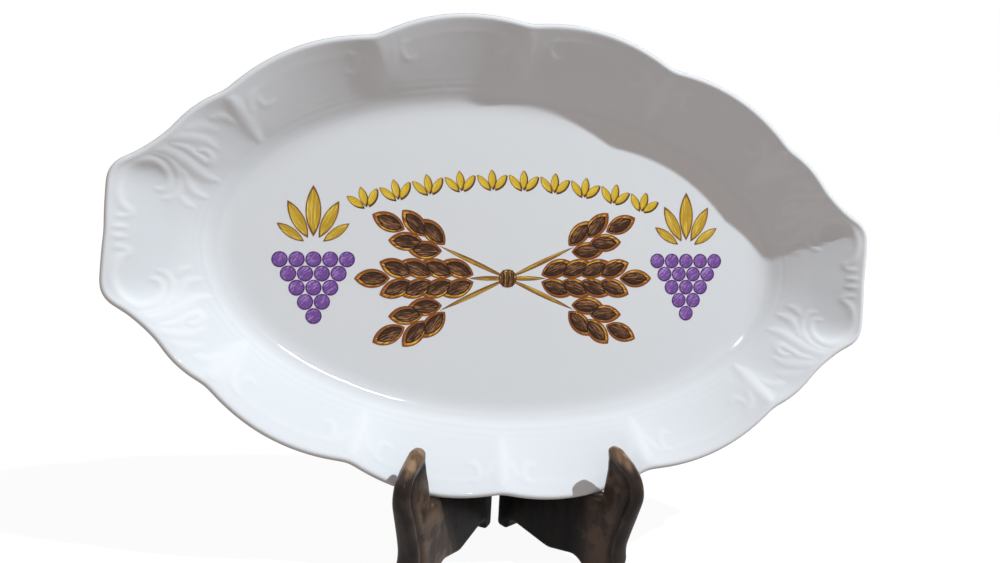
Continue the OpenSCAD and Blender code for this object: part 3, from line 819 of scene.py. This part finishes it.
def cluster(name, side):
    """Rows of five grapes down to one, and above them leaves with their turns and shares of length."""
    motifs = Motifs()
    top = np.array([side * CLUSTER_SPOT[0], CLUSTER_SPOT[1]])
    for turn, share in FAN_OF_LEAVES:
        angle = math.radians(turn)
        middle = top + [0, 6] + turned((VINE_LEAF * (0.22 + share / 2), 0), angle)
        motifs.pad(pointed_oval(VINE_LEAF * share, VINE_LEAF * share * 0.3), middle, angle, LEAF_INKS)
    for row in range(5):
        for k in range(5 - row):
            middle = top + [(k - (4 - row) / 2) * GRAPE_PITCH, -row * GRAPE_PITCH * math.sin(math.pi / 3)]
            motifs.pad(disc(GRAPE_RADIUS), middle, 0.7, GRAPE_INKS)
    motifs.finish(name, grape_finish, "grape_print", "print_" + name)


cluster("grapes_left", -1)
cluster("grapes_right", 1)

# %% [markdown]
# Above the sheaf stands an arc of small golden sprigs. Each leaf has a dark shadow just below and to
# the right, which makes it stand out from the white.

# %% Golden garland
GOLD_INKS = [(0.86, 0.58, 0.03), (0.42, 0.22, 0.02), (0.95, 0.78, 0.18)]
SHADOW_INKS = [(0.12, 0.055, 0.02), (0.08, 0.035, 0.015), (0.2, 0.1, 0.03)]
GARLAND_RADIUS, GARLAND_TOP, GARLAND_LEAF = 280.0, 47.0, 10.5
SPRIGS, SPRIG_PITCH, SHADOW_SHIFT, SHADOW_SKIN = 10, 3.5, [0.55, -0.6], 0.06
garland = Motifs()
for k in range(SPRIGS):
    for fan_turn in (-40, 0, 40):
        lean = math.radians((k - (SPRIGS - 1) / 2) * SPRIG_PITCH)
        foot = turned((0, GARLAND_RADIUS), lean) + [0, GARLAND_TOP - GARLAND_RADIUS]
        angle = lean + math.radians(90 + fan_turn)
        middle = foot + turned((GARLAND_LEAF * 0.7, 0), angle)
        leaf = pointed_oval(GARLAND_LEAF, GARLAND_LEAF * 0.38, 28)
        garland.pad(leaf * 1.04, middle + SHADOW_SHIFT, angle, SHADOW_INKS, SHADOW_SKIN)
        garland.pad(leaf, middle, angle, GOLD_INKS)
garland.finish("gold_garland", gold_finish, "gold_print", "print_gold_garland")

# %% [markdown]
# The stand is two boards of dark walnut, sawn to a hook and an upright and then carved by hand. Their
# long use shows: the wood is brown where hands take hold and where light falls, and the tips of the hooks
# have lost their stain and shine like old tool handles. The colour is painted nearly black between the
# leaves and behind the platter, as painted shade, and the groove beside the front roll is painted dark as
# shade. The grain runs up the board, and the arrises are a little lighter than the faces. Marks on the
# points say how worn, how held, and how lit or shaded a place is, so the finish needs no map.

# %% Walnut
walnut = Finish("carved_walnut")
board_spot = walnut.mark("board_spot", "Vector")
tip_wear = walnut.mark("tip_wear")
arris = walnut.mark("arris")
# This mark is high where hands take hold and where light falls. Where it is low, the colour is painted shade.
lit_and_handled = walnut.mark("lit_and_handled")
fibre = walnut.noise(walnut.stretch(board_spot, (1.0, 1.0, 0.16)), 0.20, 3.0, 0.5)
pores = walnut.noise(walnut.stretch(board_spot, (1.0, 1.0, 0.06)), 1.6, 2.0, 0.5)
patch = walnut.noise(board_spot, 0.07, 4.0, 0.6)
# Painted shade: a near-black copy of the stain for faces that lie in shade between the leaves and behind the platter.
painted_shade_stain = walnut.mix(fibre.above(0.36, 0.66), tint(0.008, 0.007, 0.008), tint(0.020, 0.015, 0.013))
brown = walnut.mix(fibre.above(0.36, 0.66), tint(0.038, 0.024, 0.018), tint(0.080, 0.050, 0.036))
brown = walnut.mix(patch.above(0.44, 0.60) * 0.75, brown, tint(0.150, 0.094, 0.062))
# Painted shade in the groove beside the front roll. The front edge of the hook is darkened too.
brown = walnut.mix(walnut.mark("groove_shade_and_dark_front") * 0.85, brown, tint(0.010, 0.007, 0.007))
stain = walnut.mix(lit_and_handled, painted_shade_stain, brown)
rubbed = (arris * 0.30 * lit_and_handled + tip_wear * 1.25 - 0.45 + patch * 0.7).above(0.30, 0.95)
worn_wood = walnut.mix(fibre.above(0.35, 0.65), tint(0.130, 0.072, 0.040), tint(0.31, 0.195, 0.115))
stain = walnut.mix(rubbed, stain, worn_wood)
stain = walnut.mix(pores.above(0.60, 0.70) * 0.30, stain, tint(0.008, 0.006, 0.006))
walnut_finish = walnut.shade({
    "Base Color": stain,
    "Roughness": 0.35 + fibre * 0.12 - rubbed * 0.09,
    "IOR": 1.45,
    "Coat Weight": (tip_wear * 3 + 0.3).clamp() * lit_and_handled,
    "Coat Roughness": 0.17,
    "Specular IOR Level": 0.22,
    "Normal": walnut.bump(fibre * 0.6 + pores * 0.4 + patch * 1.5, 0.35, 0.0008)})

# %% [markdown]
# A board's outline is a chain of rounded corners, each with its place, its radius and the radius by which
# carving eases the edge there. Carving takes most off at the front of the hook, and cuts a shallow
# groove beside the front roll, on both faces. A hooked outline has no simple grid of its own, so the
# board starts as a block of small even cells. Every point of it then slides onto the carved form, which
# a distance from the outline describes: the depth inside the outline and the place through the board
# lie on a quarter round of the local easing radius.

# %% Outline of a leaf
BOARD, SLIT, KNUCKLE = 11.0, 0.5, 2.4
SEAT, SEAT_REACH, RISE, HOOK, ARCH, TALL = 45.6, 79.6, 32.3, 20.5, 7.8, 150.0
FOOT_FRONT = SEAT_REACH + HOOK * 0.73
ROOM, FOOT_AHEAD = 0.3, 9.31549


def upright_reach(z):
    """Reach of the upright's front edge, which runs along the back of the leaning platter."""
    lean = -FOOT_AHEAD + (z - PLATTER_PLACE[2]) * math.tan(PLATTER_LEAN)
    return (SLIT * math.sin(HALF_ANGLE) - ROOM - SLIT - lean) / math.cos(HALF_ANGLE)


LEAF_CORNERS = np.array([
    [KNUCKLE, 0, 2.4, 1.4], [KNUCKLE + 7.7, 0, 2.34, 1.4], [KNUCKLE + 10.63, ARCH * 0.96, 5.46, 1.6],
    [44, ARCH * 0.43, 14, 1.6], [64, ARCH * 1.05, 9, 1.8], [FOOT_FRONT - 16.5, 0, 3.9, 1.4],
    [FOOT_FRONT, 0, 3.3, 2.0], [FOOT_FRONT - 1.2, SEAT * 0.50, 18.45, 5.0],
    [SEAT_REACH + HOOK * 1.28, SEAT + RISE * 0.47, 17.0, 5.0],
    [SEAT_REACH + HOOK * 0.74, SEAT + RISE * 0.77, 12.0, 4.8],
    [SEAT_REACH + HOOK * 0.31, SEAT + RISE * 0.94, 5.0, 4.2],
    [SEAT_REACH + HOOK * 0.01, SEAT + RISE * 0.94, 2.2, 3.4],
    [SEAT_REACH + HOOK * 0.09, SEAT + RISE * 0.62, 14.35, 2.6], [SEAT_REACH, SEAT, 1.54, 1.0],
    [upright_reach(SEAT), SEAT, 11, 1.5], [upright_reach(TALL), TALL, 4.4, 1.5],
    [KNUCKLE, TALL, 3.74, 1.0]])
print("Leaf has", len(LEAF_CORNERS), "corners")

# %% Round the corners
def rounded_outline(corners, step=math.radians(6)):
    """Each corner becomes an arc of its radius that touches both its sides."""
    rows = []
    for a, b, c in zip(np.roll(corners, 1, 0), corners, np.roll(corners, -1, 0)):
        u, v = a[:2] - b[:2], c[:2] - b[:2]
        u, v = u / np.linalg.norm(u), v / np.linalg.norm(v)
        half = math.acos(np.clip(u @ v, -1, 1)) / 2
        middle = b[:2] + (u + v) / np.linalg.norm(u + v) * b[2] / math.sin(half)
        start = b[:2] + u * b[2] / math.tan(half) - middle
        turn = (2 * half - math.pi) * (1 if u[0] * v[1] - u[1] * v[0] > 0 else -1)
        w = math.atan2(start[1], start[0]) + np.linspace(0, turn, max(3, int(abs(turn) / step) + 2))
        arc = [middle[0] + b[2] * np.cos(w), middle[1] + b[2] * np.sin(w), np.full(len(w), b[3])]
        rows.append(np.column_stack(arc))
    return np.concatenate(rows)


outline = rounded_outline(LEAF_CORNERS)
print("Leaf outline has", len(outline), "points, up to", outline[:, :2].max(0).round(1))

# %% Block of even cells
CELL = 0.85


def block(outline):
    """A prism of the outline and the board's thickness, remade from small even cells."""
    n = len(outline)
    low = np.column_stack([outline[:, 0], np.full(n, -BOARD / 2), outline[:, 1]])
    high = low + [0, BOARD, 0]
    ring = np.arange(n)
    sides = np.column_stack([ring, ring + n, np.roll(ring, -1) + n, np.roll(ring, -1)]).tolist()
    mesh = bpy.data.meshes.new("leaf_block")
    mesh.from_pydata(np.vstack([low, high]).tolist(), [], sides + [ring.tolist(), (ring[::-1] + n).tolist()])
    holder = bpy.data.objects.new("leaf_block", mesh)
    bpy.context.scene.collection.objects.link(holder)
    remesh = holder.modifiers.new("cells", "REMESH")
    remesh.mode, remesh.voxel_size = "VOXEL", CELL
    made = holder.evaluated_get(bpy.context.evaluated_depsgraph_get()).to_mesh()
    spots = np.zeros(len(made.vertices) * 3)
    made.vertices.foreach_get("co", spots)
    faces = np.zeros(len(made.polygons) * 4, int)
    made.polygons.foreach_get("vertices", faces)
    bpy.data.objects.remove(holder)
    bpy.data.meshes.remove(mesh)
    return spots.reshape(-1, 3), faces.reshape(-1, 4)


cells, cell_faces = block(outline)
print("Block has", len(cells), "points")

# %% Carve the leaf
def depth_inside(spots, outline):
    """Distance inside the outline, its inward direction, and the easing radius at the nearest point."""
    loop = np.vstack([outline, outline[:1]])
    a, step = loop[:-1, :2], np.diff(loop[:, :2], axis=0)
    keep = np.linalg.norm(step, axis=1) > 1e-6
    a, step, ease_a, ease_b = a[keep], step[keep], loop[:-1, 2][keep], loop[1:, 2][keep]
    reach = spots[:, None] - a[None]
    t = np.clip((reach * step).sum(2) / (step ** 2).sum(1), 0, 1)
    away = reach - t[..., None] * step
    gap = np.linalg.norm(away, axis=2)
    best = gap.argmin(1)
    row = np.arange(len(spots))
    t, away, gap = t[row, best], away[row, best], gap[row, best]
    left = np.column_stack([-step[best, 1], step[best, 0]])
    inside = np.where((away * left).sum(1) >= 0, 1.0, -1.0)
    toward = away / np.maximum(gap, 1e-9)[:, None] * inside[:, None]
    return gap * inside, toward, ease_a[best] + (ease_b[best] - ease_a[best]) * t


def front_roll(outline):
    """The part of the outline that runs down the front, from near the tip to the foot, in long steps."""
    height = outline[:, 1]
    front = outline[(outline[:, 0] > SEAT_REACH + 4) & (height > 4) & (height < SEAT + RISE * 0.95), :2]
    return front[np.argsort(front[:, 1])][::2]


def rise_between(values, low, high):
    share = np.clip((values - low) / (high - low), 0, 1)
    return share * share * (3 - 2 * share)


# %% Cut, groove and wear of each leaf
CUT_HEIGHTS = (0, 18, 42, 58, 70, 80)
CUTS = {"left_leaf": ((-2.2, -2.2, -0.4, 0, 0, 0), (0, 0, 0, 0.9, 2.7, 4.2)),
    "right_leaf": ((0, 0.2, 0.8, 2.5, 2.6, 4.2), (0, 0, 0, 0, 0, 0))}
PULL = {"left_leaf": 0.0, "right_leaf": 1.3}
# Slope of the edge between painted shade and brown wood on the inner face. On the left leaf it follows the platter's
# shadow.
SHADE_AND_WEAR_SLOPE = {"left_leaf": 0.6, "right_leaf": 0.15}
HOOK_FRONT = (66, 84)
GROOVE_INSET, GROOVE_WIDTH, GROOVE_DEPTH = 6.2, 1.8, 1.3
OUTER_GROOVE_END, INNER_GROOVE_END = (46, 58), (62, 74)
WAVE, SLIDES, TINY = 0.12, 5, 1e-6


def carve(cells, outline, outer_cut, inner_cut):
    """A groove follows the front roll. Both sides of the hook are cut back by lengths given at heights."""
    spots = cells.copy()
    roll = front_roll(outline)
    for _ in range(SLIDES):
        reach, off, height = spots.T
        depth, toward, ease = depth_inside(spots[:, [0, 2]], outline)
        front = rise_between(reach, *HOOK_FRONT) * rise_between(height, 4, 14)
        outer, inner = (np.interp(height, CUT_HEIGHTS, cut) * rise_between(reach, *HOOK_FRONT)
            for cut in (outer_cut, inner_cut))
        roll_gap = nearest(roll, spots[:, [0, 2]])[0]
        groove = front * np.exp(-((roll_gap - GROOVE_INSET) / GROOVE_WIDTH) ** 2)
        outer = outer + GROOVE_DEPTH * groove * (1 - rise_between(height, *OUTER_GROOVE_END))
        inner = inner + GROOVE_DEPTH * groove * (1 - rise_between(height, *INNER_GROOVE_END))
        middle = (inner - outer) / 2
        half = (BOARD - inner - outer) / 2
        half = half + WAVE * np.sin(height / 5.1 + reach / 8.3) * np.sin(reach / 4.7) * front
        ease = np.minimum(ease, half * 0.97)
        inset = np.maximum(ease - depth, 0)
        above = np.maximum(np.abs(off - middle) - (half - ease), 0)
        size = np.maximum(np.hypot(inset, above), TINY)
        miss = size - ease
        spots[:, [0, 2]] += toward * (miss * inset / size)[:, None]
        spots[:, 1] -= np.sign(off - middle) * miss * above / size
    corner = 2 * inset * above / size ** 2
    return spots, depth, corner, groove


for name, side in (("left_leaf", -1), ("right_leaf", 1)):
    carved, depth, corner, groove = carve(cells, outline, *CUTS[name])
    carved[:, 0] -= PULL[name] * rise_between(carved[:, 0], 84, 100)
    reach, off, height = carved.T
    tip_wear = rise_between(height, 62, 78) * rise_between(reach, 76, 86)
    # Painted shade for the groove, and a darker band near the outline at the front of the hook.
    groove_shade_and_dark_front = np.maximum(groove, rise_between(-depth, -6, -2) * rise_between(reach, 84, 90) * 0.8)
    # Brown where hands take hold and where light falls. Painted shade behind the platter and between the leaves, with
    # a slanted edge like the platter's shadow.
    lit_and_handled = rise_between(reach + (SEAT - height) * SHADE_AND_WEAR_SLOPE[name], 65, 79)
    # Less painted shade on the upright and on the outer face of the board.
    lit_and_handled = np.maximum(lit_and_handled, 0.6 * np.maximum(rise_between(height, 50, 75), rise_between(off, -2, 4)))
    carved[:, 1] += SLIT + BOARD / 2
    leaf_faces = cell_faces[:, ::-1] if side < 0 else cell_faces
    add_piece("carved_" + name, on_leaf(carved, side), leaf_faces.tolist(), name.replace("leaf", "half"),
        walnut_finish, "walnut", [name], {"board_spot": carved + [side * 40, 0, 0],
            "tip_wear": tip_wear, "arris": corner, "lit_and_handled": lit_and_handled, "groove_shade_and_dark_front": groove_shade_and_dark_front})

# %% [markdown]
# The hinges are plain brass, and their solids are right as they are. They get a finish with the fine
# brushed lines of rolled sheet, and darker metal where hands never polish it.

# %% Brass
metal = Finish("aged_brass")
spot = metal.place()
brushed = metal.noise(metal.stretch(spot, (1.0, 1.0, 0.04)), 900.0, 3.0, 0.6)
tarnish = metal.noise(spot, 120.0, 4.0, 0.6).above(0.45, 0.65)
brass_finish = metal.shade({
    "Base Color": metal.mix(tarnish * 0.7, tint(0.62, 0.44, 0.18), tint(0.24, 0.16, 0.07)),
    "Metallic": 1.0,
    "Roughness": 0.26 + brushed * 0.14 + tarnish * 0.16,
    "Normal": metal.bump(brushed, 0.12, 0.0001)})
for name, solid in frame["nodes"].items():
    if "hinge" in name:
        solid.data.materials.clear()
        solid.data.materials.append(brass_finish)
print("Brass nodes:", sum("hinge" in name for name in frame["nodes"]))

# %% [markdown]
# The picture has a pure white ground, so the floor and the world look white to the camera. A reflection
# shows the floor as a light grey, like real surroundings. For light that falls on the object the floor
# is a dull paint and the world a soft glow, a little stronger from the left and warmer from the right.
# The floor keeps a tenth of its own shading near the object, which leaves a faint shadow there.

# %% Floor
FLOOR_GLOW, GLOW_LOST_IN_GLAZE = 1.04, 0.62
SHADOW_SHARE, SHADOW_START, SHADOW_END = 0.10, 0.25, 0.8
ground = Finish("pale_floor")
path = ground.node("ShaderNodeLightPath")
seen = (path.out("Is Camera Ray") + path.out("Is Glossy Ray") + path.out("Is Transmission Ray")).clamp()
paint = ground.node("ShaderNodeBsdfDiffuse", {}, {"Color": ground.mix(
    path.out("Is Diffuse Ray"), tint(0.88, 0.89, 0.90), tint(0.335, 0.29, 0.27))}).out()
glow = ground.node("ShaderNodeEmission", {}, {
    "Color": tint(1, 1, 1), "Strength": FLOOR_GLOW - path.out("Is Glossy Ray") * GLOW_LOST_IN_GLAZE}).out()
distance = ground.node("ShaderNodeVectorMath", {"operation": "LENGTH"}, {0: ground.place()}).out("Value")
share = seen * (distance.above(SHADOW_START, SHADOW_END) * SHADOW_SHARE + (1 - SHADOW_SHARE))
ground.node("ShaderNodeOutputMaterial", {}, {
    "Surface": ground.node("ShaderNodeMixShader", {}, {0: share, 1: paint, 2: glow}).out()})
floor_mesh = bpy.data.meshes.new("floor")
floor_mesh.from_pydata([(-4, -4, 0), (4, -4, 0), (4, 4, 0), (-4, 4, 0)], [], [(0, 1, 2, 3)])
floor_mesh.materials.append(ground.material)
floor = bpy.data.objects.new("floor", floor_mesh)
bpy.context.scene.collection.objects.link(floor)
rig.stage(floor)
print("Floor finish has", len(ground.tree.nodes), "nodes")

# %% World
world = bpy.data.worlds.new("studio")
bpy.context.scene.world = world
sky = Finish("studio", world)
direction = sky.node("ShaderNodeTexCoord").out("Generated")
sideways = sky.node("ShaderNodeSeparateXYZ", {}, {0: direction}).out("X")
tones = sky.mix(sideways * 0.5 + 0.5, tint(1.24, 1.15, 1.12), tint(0.92, 0.81, 0.74))
soft = sky.node("ShaderNodeBackground", {}, {"Color": tones, "Strength": 0.35}).out()
white = sky.node("ShaderNodeBackground", {}, {"Color": tint(1, 1, 1), "Strength": 1.0}).out()
seen = sky.node("ShaderNodeLightPath").out("Is Camera Ray")
sky.node("ShaderNodeOutputWorld", {}, {
    "Surface": sky.node("ShaderNodeMixShader", {}, {0: seen, 1: soft, 2: white}).out()})
print("World has", len(sky.tree.nodes), "nodes")

# %% [markdown]
# The key lamp stands for the sun: far off, small, high to the right and in front. It rakes across the
# platter, so the upper and right walls fall into shade and throw a scalloped shadow on the floor of
# the well. The glaze doesn't mirror it. A weak second lamp puts the small bright spots in the cove.

# %% Lamps
def lamp(name, azimuth, elevation, distance, size, watts, color, mirrored=True):
    """A disc lamp, placed by its angle to the right of the front and its angle above the table."""
    direction = outward_to(azimuth, elevation)
    light = bpy.data.lights.new(name, "AREA")
    light.shape, light.size, light.energy, light.color = "DISK", size, watts, color
    holder = bpy.data.objects.new(name, light)
    holder.location = Vector(RIM_MIDDLE * MM) + direction * distance
    holder.rotation_euler = direction.to_track_quat("Z", "Y").to_euler()
    holder.visible_glossy = mirrored
    bpy.context.scene.collection.objects.link(holder)
    print(name, [round(v, 3) for v in holder.location])


lamp("key", 58, 53, 3.0, 0.07, 97.0, (0.84, 0.93, 1.0), mirrored=False)
lamp("sparkle", 8, 28, 1.5, 0.04, 0.4, (1.0, 0.98, 0.95))

# %% [markdown]
# The last step writes the box of the solids and of the dressed object side by side to a file, so that
# the two can be compared.

# %% Finish
json.dump({"solid_box": solid_box, "dressed_box": [list(corner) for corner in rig.bounds()]},
    open("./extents.json", "w"))
print(open("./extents.json").read())
